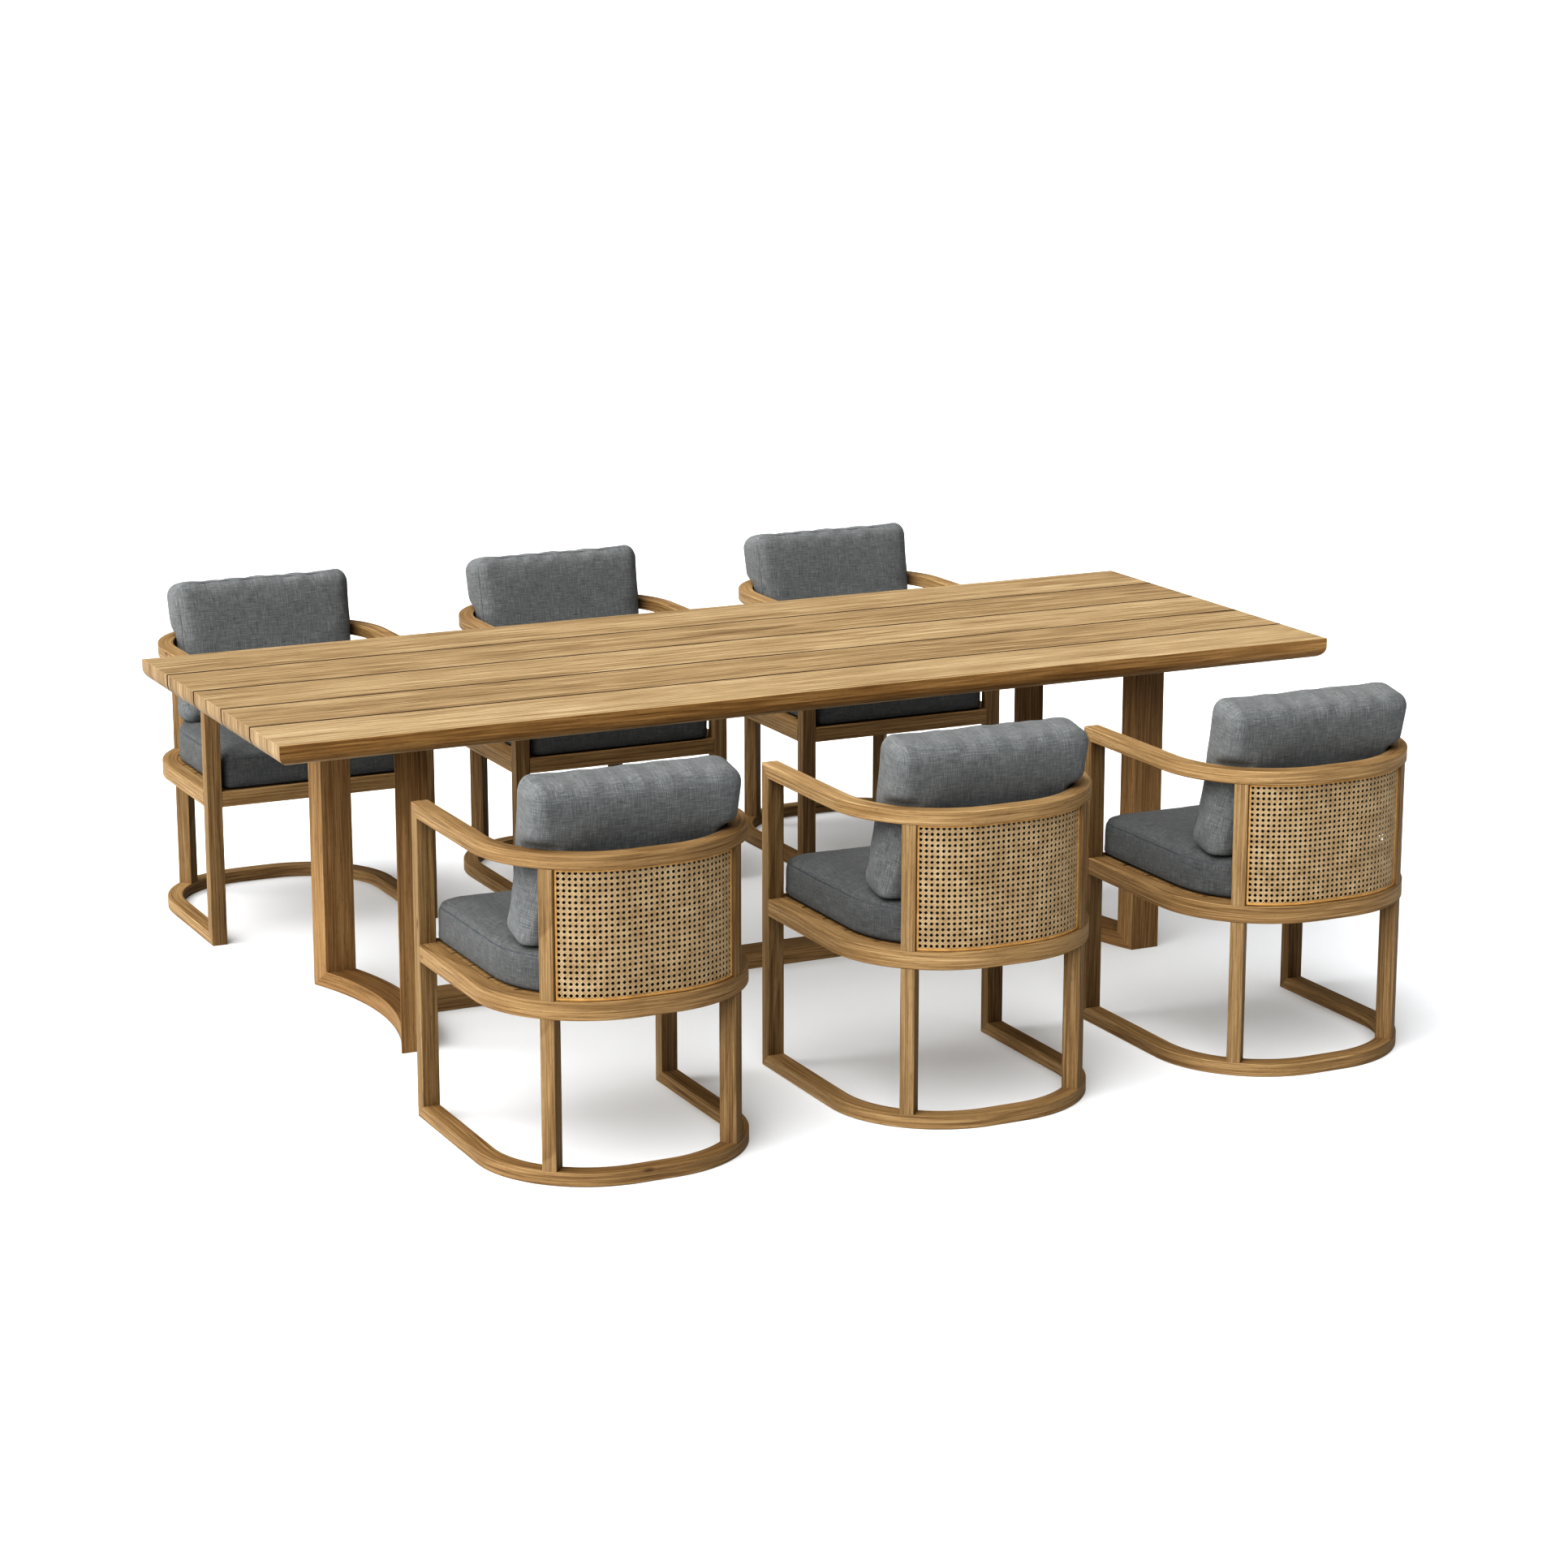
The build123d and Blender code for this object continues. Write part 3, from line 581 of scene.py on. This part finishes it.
# ------------------------------------------------------------- seat cushion
def prism(outline, levels):
    """Closed stack of outlines: levels is a list of (inset, z)."""
    co, faces = [], []
    n = None
    for inset, z in levels:
        ring = outline(inset)
        n = len(ring)
        co += [(x, -d, z) for x, d in ring]
    for k in range(len(levels) - 1):
        for i in range(n):
            j = (i + 1) % n
            faces.append((k * n + i, k * n + j, (k + 1) * n + j, (k + 1) * n + i))
    faces.append(tuple(range(n))[::-1])
    faces.append(tuple(range((len(levels) - 1) * n, len(levels) * n)))
    return co, faces


def seat_outline(inset):
    """Closed outline of the seat cushion with rounded front corners, always the same number of points."""
    off = 0.0415 + inset
    w, r, f = CX + 0.245 - off, 0.245 - off, 0.0075 + inset
    c = 0.026
    pts = [(-w, d) for d in np.linspace(f + c, CYS, 14, endpoint=False)]
    pts += [(-(CX + r * math.cos(a)), CYS + r * math.sin(a)) for a in np.linspace(0, math.pi / 2, 26)]
    pts += [(CX + r * math.cos(a), CYS + r * math.sin(a)) for a in np.linspace(math.pi / 2, 0, 26)]
    pts += [(w, d) for d in np.linspace(CYS, f + c, 15)[1:]]
    pts += [(w - c + c * math.cos(a), f + c - c * math.sin(a)) for a in np.linspace(0, math.pi / 2, 6)[1:]]
    pts += [(x, f) for x in np.linspace(w - c, -w + c, 16)[1:-1]]
    pts += [(-w + c - c * math.sin(a), f + c - c * math.cos(a)) for a in np.linspace(0, math.pi / 2, 6)[:-1]]
    return pts


def arc_levels(r, z, top=True, n=6):
    out = []
    for a in np.linspace(0, math.pi / 2, n):
        if top:
            out.append((r * (1 - math.cos(a)), z - r + r * math.sin(a)))
        else:
            out.append((r * (1 - math.sin(a)), z + r - r * math.cos(a)))
    return out


Z_SEAM = 0.4455
VOX = 0.006


def make_seat():
    levels = arc_levels(0.010, 0.3722, False) + arc_levels(0.016, 0.4560, True)
    co, faces = prism(seat_outline, levels)
    o = remeshed("seat_master", co, faces, VOX)
    base = coords_of(o.data)
    out = inflate(o, 4.0, lambda c: np.clip((0.392 - c[:, 2]) / 0.012, 0, 1))
    move = out - base
    flat = np.minimum(1.0, 0.0018 / np.maximum(np.abs(move[:, :2]).max(1), 1e-6))
    move[:, :2] *= flat[:, None]                      # the posts and the seat ring hold the sides
    move[:, 2] = np.clip(move[:, 2], -0.001, 0.0125)
    # crown: the middle stands higher than the rim
    x, d = base[:, 0], -base[:, 1]
    ex = np.clip(1 - np.abs(x) / 0.242, 0, 1)
    px, py = np.maximum(np.abs(x) - CX, 0), np.maximum(d - CYS, 0)
    rim = np.where(d > CYS, 0.2035 - np.hypot(px, py), 0.242 - np.abs(x))
    rim = np.minimum(rim, d - 0.0075)
    up = np.clip(rim / 0.075, 0, 1)
    up = up * up * (3 - 2 * up)
    top = base[:, 2] > 0.440
    crown = 0.0135 * up
    move[:, 2] = np.where(top, np.maximum(np.minimum(move[:, 2], 0.002 + crown), crown * 0.75), move[:, 2])
    co = base + smooth_field(o.data, move, 3)
    # dented slightly where the back cushion stands
    rest = np.exp(-((d - 0.385) / 0.055) ** 2) * np.clip(1 - (np.abs(x) / 0.225) ** 6, 0, 1)
    lim = 0.4615
    co[:, 2] = np.where(top & (co[:, 2] > lim), co[:, 2] + (lim - co[:, 2]) * np.clip(rest * 1.6, 0, 1), co[:, 2])
    set_coords(o.data, co)
    nor = normals_of(o.data)
    wob = field_noise(co, 0.055, 3.1) * 0.0009 + field_noise(co, 0.021, 8.3) * 0.0004
    # the seam draws in the side just under the top panel
    pull = np.exp(-((co[:, 2] - Z_SEAM) / 0.0042) ** 2) * (nor[:, 2] < 0.75)
    side = np.exp(-((co[:, 2] - 0.412) / 0.024) ** 2) * (np.abs(nor[:, 2]) < 0.5)
    co = co + nor * (wob * (co[:, 2] > 0.385) - 0.0016 * pull + 0.0012 * side)[:, None]
    co[:, 2] = np.maximum(co[:, 2], 0.3714)
    set_coords(o.data, co)

    def uv(p, n):
        u = np.where(np.abs(n[:, 2]) > 0.62, p[:, 0], polar(p[:, 0], -p[:, 1], 0.2))
        v = np.where(np.abs(n[:, 2]) > 0.62, p[:, 1], p[:, 2] + 3.0)
        front = (n[:, 1] > 0.7) & (np.abs(n[:, 2]) <= 0.62)
        u = np.where(front, p[:, 0] + 1.7, u)
        return np.stack([u, v], 1)

    loops_uv(o.data, uv)
    tree = BVHTree.FromPolygons([tuple(v) for v in co], [tuple(p.vertices) for p in o.data.polygons])
    seams = []
    for z, inset in ((Z_SEAM, 0.0), (0.3795, 0.0015)):
        pts = []
        ring = seat_outline(inset)
        dense = []
        for i in range(len(ring)):
            a, b = np.array(ring[i]), np.array(ring[(i + 1) % len(ring)])
            m = max(1, int(np.linalg.norm(b - a) / 0.008))
            dense += [a + (b - a) * t / m for t in range(m)]
        for x, d in dense:
            hit, n, _, _ = tree.find_nearest(Vector((x, -d, z)))
            pts.append(np.array(hit) + np.array(n) * 0.0001)
        pts = np.array(pts)
        for _ in range(3):
            pts = 0.5 * pts + 0.25 * (np.roll(pts, 1, 0) + np.roll(pts, -1, 0))
        seams.append(sweep(pts, 0.0011, 6))
    return o, seams


# ------------------------------------------------------------- back cushion
BW, BT, BH = 0.450, 0.110, 0.351      # before filling
FOOT = 0.4625


def lean_out(p):
    """Cushion coordinates (across, back, up the cushion) to chair coordinates."""
    p = np.asarray(p, float)
    c, s = math.cos(TILT), math.sin(TILT)
    y = -BACK_Y - 0.001 - p[:, 1] * c - p[:, 2] * s
    z = 0.4605 - p[:, 1] * s + p[:, 2] * c
    return np.stack([p[:, 0], y, z], 1)


def make_back():
    bm = bmesh.new()
    bmesh.ops.create_cube(bm, size=1.0)
    bmesh.ops.scale(bm, vec=(BW, BT, BH), verts=bm.verts)
    bmesh.ops.translate(bm, vec=(0, 0, BH / 2 - 0.006), verts=bm.verts)
    across = [e for e in bm.edges if abs(e.verts[0].co.y - e.verts[1].co.y) > 0.05]
    bmesh.ops.bevel(bm, geom=across, offset=0.034, segments=8, profile=0.5, affect="EDGES")
    rim = [e for e in bm.edges if abs(abs(e.verts[0].co.y) - BT / 2) < 1e-5 and abs(abs(e.verts[1].co.y) - BT / 2) < 1e-5
           and abs(e.verts[0].co.y - e.verts[1].co.y) < 1e-5]
    bmesh.ops.bevel(bm, geom=rim, offset=0.031, segments=6, profile=0.5, affect="EDGES")
    co = [tuple(v.co) for v in bm.verts]
    bm.verts.index_update()
    faces = [tuple(v.index for v in f.verts) for f in bm.faces]
    bm.free()
    o = remeshed("back_master", co, faces, VOX)
    base = coords_of(o.data)
    out = inflate(o, 4.0, lambda c: np.clip((0.012 - c[:, 2]) / 0.010, 0, 1) * 0.7)
    move = out - base
    size = np.linalg.norm(move, axis=1)
    cap = 0.0085
    move *= np.minimum(1.0, cap / np.maximum(size, 1e-6))[:, None]
    # the middle of both faces is fuller than the rim; corners hold back
    u, v, w = base[:, 0] / (BW / 2), base[:, 1], (base[:, 2] + 0.006 - BH / 2) / (BH / 2)
    full = np.clip(1 - np.abs(u) ** 2.4, 0, 1) * np.clip(1 - np.abs(w) ** 2.4, 0, 1)
    target = 0.0075 * full
    move[:, 1] = np.where(np.abs(v) > BT * 0.30, np.sign(v) * np.minimum(np.abs(move[:, 1]) * 0.5 + target * 0.6, 0.0085), move[:, 1])
    corner = np.clip((np.abs(u) - 0.72) / 0.28, 0, 1) * np.clip((w - 0.70) / 0.30, 0, 1)
    move *= (1 - 0.30 * corner)[:, None]
    co = base + smooth_field(o.data, move, 3)
    set_coords(o.data, co)
    nor = normals_of(o.data)
    edge = np.clip(1 - full * 1.3, 0, 1)
    ripple = (np.sin(co[:, 0] * 118 + 0.6) + 0.7 * np.sin(co[:, 0] * 71 + 2.0)) * 0.0010 * np.clip((w - 0.80) / 0.15, 0, 1)
    pucker = field_noise(co * np.array([1, 0.3, 1]), 0.034, 5.7) * 0.0013 * edge
    wob = field_noise(co, 0.09, 1.3) * 0.0020 + field_noise(co, 0.028, 9.9) * 0.0005
    # soft seams where the front and back panels meet the side panel
    inset = np.minimum(BW / 2 + 0.008 - np.abs(co[:, 0]), BH / 2 + 0.006 - np.abs(co[:, 2] + 0.006 - BH / 2))
    seam = np.exp(-((np.abs(co[:, 1]) - 0.0465) / 0.0045) ** 2) * (inset < 0.03)
    co = co + nor * (wob + pucker + ripple - 0.0009 * seam)[:, None]
    co = lean_out(co)
    # the back rail squeezes the cushion's corners, and it bulges again above the rail
    held = co.copy()
    for rounds, slack in ((2, 0.0), (1, 0.0), (0, 0.0002)):
        px, py = np.maximum(np.abs(held[:, 0]) - CX, 0), np.maximum(-held[:, 1] - CYS, 0)
        rho = np.hypot(px, py)
        over = np.clip((held[:, 2] - 0.6615) / 0.036, 0, 1)
        room = 0.2066 - slack + 0.055 * over * over * (3 - 2 * over)
        k = np.where((rho > room) & (py > 0), room / np.maximum(rho, 1e-6), 1.0)
        held[:, 0] = np.where(k < 1, np.sign(held[:, 0]) * (CX + px * k), held[:, 0])
        held[:, 1] = np.where(k < 1, -(CYS + py * k), held[:, 1])
        if rounds:
            held = co + smooth_field(o.data, held - co, rounds)
    co = held
    # flat where it stands on the seat cushion
    low = co[:, 2] < FOOT
    co[low, 2] = FOOT + (co[low, 2] - FOOT) * 0.02
    set_coords(o.data, co)

    def uv(p, n):
        c, s = math.cos(TILT), math.sin(TILT)
        y, z = p[:, 1] + BACK_Y + 0.001, p[:, 2] - 0.4605
        vv, ww = -y * c - z * s, -y * s + z * c
        face_n = np.abs(n[:, 1] * c + n[:, 2] * s)
        up_n = np.abs(-n[:, 1] * s + n[:, 2] * c)
        side = np.abs(n[:, 0])
        u1 = np.where(face_n >= 0.62, p[:, 0] + 5.0, np.where(side >= up_n, vv + 8.0, p[:, 0] + 2.5))
        v1 = np.where(face_n >= 0.62, ww, np.where(side >= up_n, ww + 4.0, vv + 6.0))
        return np.stack([u1, v1], 1)

    loops_uv(o.data, uv)
    tree = BVHTree.FromPolygons([tuple(v) for v in co], [tuple(p.vertices) for p in o.data.polygons])
    seams = []
    hw, hh, r = BW / 2 - 0.004, BH / 2 - 0.002, 0.044
    ring = []
    for sx, sz, a0 in ((1, 1, 0), (-1, 1, 90), (-1, -1, 180), (1, -1, 270)):
        for a in np.radians(np.linspace(a0, a0 + 90, 12)):
            ring.append((sx * (hw - r) + r * math.cos(a), sz * (hh - r) + r * math.sin(a) + BH / 2 - 0.006))
    dense = []
    for i in range(len(ring)):
        a, b = np.array(ring[i]), np.array(ring[(i + 1) % len(ring)])
        m = max(1, int(np.linalg.norm(b - a) / 0.008))
        dense += [a + (b - a) * t / m for t in range(m)]
    for side in (-1,):
        want = lean_out(np.array([(x, side * 0.048, z) for x, z in dense]))
        pts = []
        for p in want:
            p[2] = max(p[2], FOOT - 0.001)
            hit, n, _, _ = tree.find_nearest(Vector(p))
            pts.append(np.array(hit) + np.array(n) * 0.0001)
        pts = np.array(pts)
        for _ in range(3):
            pts = 0.5 * pts + 0.25 * (np.roll(pts, 1, 0) + np.roll(pts, -1, 0))
        seams.append(sweep(pts - 0.0, 0.0006, 6))
    return o, seams


def with_seams(master, seams):
    """One mesh per cushion: cover plus its seam threads."""
    co = coords_of(master.data)
    faces = [tuple(p.vertices) for p in master.data.polygons]
    uv = np.zeros(len(master.data.loops) * 2, np.float32)
    master.data.uv_layers["UVMap"].data.foreach_get("uv", uv)
    uv = uv.reshape(-1, 2)
    mats = [0] * len(faces)
    allco, allf = [co], list(faces)
    base = len(co)
    extra = []
    for sco, sf in seams:
        allco.append(sco)
        allf += [tuple(i + base for i in f) for f in sf]
        extra += [sco[i][:2] for f in sf for i in f]
        mats += [1] * len(sf)
        base += len(sco)
    return np.vstack(allco), allf, mats, np.vstack([uv, np.array(extra)])


def place_cushions(kind, master, seams):
    co, faces, mats, uv = with_seams(master, seams)
    bpy.data.objects.remove(master)
    shared = {}
    for c, x, row in CHAIRS:
        name = "chair%d_%s_cushion_fabric" % (c, kind)
        o = new_object(name, to_row(co, x, row), faces, [M_SEATCLOTH_SHADED if kind == "seat" else M_FABRIC, M_THREAD], mats)
        layer = o.data.uv_layers.new(name="UVMap")
        layer.data.foreach_set("uv", (uv + np.array([c * 0.37, c * 0.53])).astype(np.float32).ravel())
        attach(o, "chair%d_%s" % (c, "seat" if kind == "seat" else "back"))
        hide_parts("chair%d_%s_cushion" % (c, kind))


seat, seat_seams = make_seat()
place_cushions("seat", seat, seat_seams)
back, back_seams = make_back()
place_cushions("back", back, back_seams)


# --------------------------------------------------------------- cane panel
HALF = 0.1973
PITCH = 0.01152
ROWP = 0.011512
S0, ROW0 = -0.1903, 0.38175
COLS, ROWS = 34, 22


def on_sheet(s, z, off):
    """Point on the sheet: s from the back middle, z up, off outwards from the outer face."""
    s = np.asarray(s, float)
    r = R_SHEET + off
    phi = np.maximum(np.abs(s) - CX, 0) / R_SHEET
    x = np.sign(s) * (np.minimum(np.abs(s), CX) + r * np.sin(phi))
    d = CYS + r * np.cos(phi)
    return np.stack([x, -d, np.asarray(z, float) + 0 * s], -1)


def strip(s, z, width, t0, t1, nrm=None):
    """Flat strip along (s, z) points: width across, from t0 to t1 outwards."""
    s, z = np.asarray(s, float), np.asarray(z, float)
    ds, dz = np.gradient(s), np.gradient(z)
    ln = np.hypot(ds, dz)
    ns, nz = -dz / ln * width / 2, ds / ln * width / 2
    rows = [on_sheet(s - ns, z - nz, t0), on_sheet(s + ns, z + nz, t0), on_sheet(s + ns * 0.75, z + nz * 0.75, t1), on_sheet(s - ns * 0.75, z - nz * 0.75, t1)]
    n = len(s)
    co = np.stack(rows, 1).reshape(-1, 3)
    faces = []
    for i in range(n - 1):
        for j in range(4):
            faces.append((i * 4 + j, (i + 1) * 4 + j, (i + 1) * 4 + (j + 1) % 4, i * 4 + (j + 1) % 4))
    faces.append((3, 2, 1, 0)[::-1])
    faces.append(tuple((n - 1) * 4 + j for j in range(4))[::-1])
    return co, faces


def make_cane():
    parts = []
    z0, z1 = Z_LOW + 0.0006, Z_HIGH - 0.0006
    for j in range(COLS - 1):
        mid = S0 + PITCH * (j + 0.5)
        for e in (-0.00128, 0.00128):
            parts.append((strip([mid + e] * 2, [z0, z1], 0.0025, -0.0026, -0.0020), 0))
    sgrid = np.linspace(-HALF, HALF, 39)
    for i in range(ROWS - 1):
        mid = ROW0 + ROWP * (i + 0.5)
        for e in (-0.00128, 0.00128):
            parts.append((strip(sgrid, np.full_like(sgrid, mid + e), 0.0025, -0.0020, -0.0014), 0))
    s_lo, s_hi, z_lo, z_hi = -HALF, HALF, z0, z1
    for sign, t in ((1, (-0.0014, -0.0008)), (-1, (-0.0008, -0.0002))):
        for kk in range(-ROWS - 2, COLS + ROWS + 2):
            # line (s - S0)/PITCH - sign * (z - ROW0)/ROWP = kk + 0.5
            zz = np.array([z_lo, z_hi])
            sa = S0 + PITCH * (kk + 0.5 + sign * (zz - ROW0) / ROWP)
            a, b = np.array([sa[0], z_lo]), np.array([sa[1], z_hi])
            lo, hi = 0.0, 1.0
            dsx = b[0] - a[0]
            t0, t1 = sorted(((s_lo - a[0]) / dsx, (s_hi - a[0]) / dsx))
            lo, hi = max(lo, t0), min(hi, t1)
            if hi - lo < 0.015:
                continue
            length = (hi - lo) * math.hypot(dsx, z_hi - z_lo)
            n = max(2, int(length / 0.0145) + 1)
            q = np.linspace(lo, hi, n)
            parts.append((strip(a[0] + dsx * q, a[1] + (b[1] - a[1]) * q, 0.0024, *t), 0))
    # cane spline pressed in all round
    w = 0.0052
    for z in (z0 + w / 2, z1 - w / 2):
        parts.append((strip(sgrid, np.full_like(sgrid, z), w, -0.0022, 0.0009), 1))
    for s in (-HALF + w / 2 - 0.0004, HALF - w / 2 + 0.0004):
        parts.append((strip([s] * 2, [z0, z1], w, -0.0022, 0.0007), 1))
    co, faces, mats, base = [], [], [], 0
    for (c, f), m in parts:
        co.append(c)
        faces += [tuple(i + base for i in q) for q in f]
        mats += [m] * len(f)
        base += len(c)
    return np.vstack(co), faces, mats


def loose_parts(me):
    """Welded copies of a mesh's separate solids, as (points, faces)."""
    bm = bmesh.new()
    bm.from_mesh(me)
    bmesh.ops.remove_doubles(bm, verts=bm.verts, dist=1e-6)
    bm.verts.index_update()
    seen, out = set(), []
    for v in bm.verts:
        if v.index in seen:
            continue
        stack, mine = [v], []
        seen.add(v.index)
        while stack:
            q = stack.pop()
            mine.append(q)
            for e in q.link_edges:
                o = e.other_vert(q)
                if o.index not in seen:
                    seen.add(o.index)
                    stack.append(o)
        idx = {q.index: i for i, q in enumerate(mine)}
        fs = {f for q in mine for f in q.link_faces}
        out.append((np.array([q.co[:] for q in mine]), [tuple(idx[w.index] for w in f.verts) for f in sorted(fs, key=lambda f: f.index)]))
    bm.free()
    return out


cane_co, cane_faces, cane_mats = make_cane()
for c, x, row in CHAIRS:
    node = "chair%d_cane_panel" % c
    solids = loose_parts(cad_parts[node].data)
    sheet_i = max(range(len(solids)), key=lambda i: np.prod(np.ptp(solids[i][0], axis=0)) if len(solids[i][0]) else 0)
    co, faces, mats = [to_row(cane_co, x, row)], list(cane_faces), list(cane_mats)
    base = len(cane_co)
    for i, (p, f) in enumerate(solids):
        if i == sheet_i:
            continue
        co.append(p)
        faces += [tuple(w + base for w in q) for q in f]
        mats += [2] * len(f)
        base += len(p)
    o = new_object("chair%d_cane_weave" % c, np.vstack(co), faces, [M_CANE, M_RIM, M_STILE_SHADE], mats, smooth=False)
    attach(o, "chair%d" % c)
    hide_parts(node)


# -------------------------------------------------------------------- stage
me = bpy.data.meshes.new("floor")
me.from_pydata([(-150, -150, -0.0005), (150, -150, -0.0005), (150, 150, -0.0005), (-150, 150, -0.0005)], [], [(0, 1, 2, 3)])
floor = bpy.data.objects.new("floor", me)
scene.collection.objects.link(floor)
fm = bpy.data.materials.new("floor")
fm.use_nodes = True
fm.node_tree.nodes["Principled BSDF"].inputs["Base Color"].default_value = (0.535, 0.545, 0.555, 1)
fm.node_tree.nodes["Principled BSDF"].inputs["Emission Color"].default_value = (1, 1, 1, 1)
fm.node_tree.nodes["Principled BSDF"].inputs["Emission Strength"].default_value = 0.12
fm.node_tree.nodes["Principled BSDF"].inputs["Roughness"].default_value = 0.9
fm.node_tree.nodes["Principled BSDF"].inputs["Specular IOR Level"].default_value = 0.0
me.materials.append(fm)

world = bpy.data.worlds.new("studio")
scene.world = world
world.use_nodes = True
world.node_tree.nodes["Background"].inputs[0].default_value = (1, 1, 1, 1)
world.node_tree.nodes["Background"].inputs[1].default_value = 0.03


def sun(name, toward, strength, angle, colour=(1, 1, 1)):
    d = bpy.data.lights.new(name, "SUN")
    d.energy = strength
    d.angle = math.radians(angle)
    d.color = colour
    o = bpy.data.objects.new(name, d)
    scene.collection.objects.link(o)
    o.rotation_euler = Vector(toward).to_track_quat("Z", "Y").to_euler()
    return o


sun("key_left", (-1.0, -0.34, 0.86), 4.8, 85)
sun("top_soft", (-0.10, 0.0, 1.0), 1.7, 120)

cam = bpy.data.cameras.new("camera")
cam.lens = 85.13
cam.sensor_width = 36.0
cam.clip_end = 400
co = bpy.data.objects.new("camera", cam)
scene.collection.objects.link(co)
co.location = (-3.5372, -7.4803, 2.4389)
co.rotation_euler = (math.pi / 2 - 0.2379, 0, -0.4531)
scene.camera = co
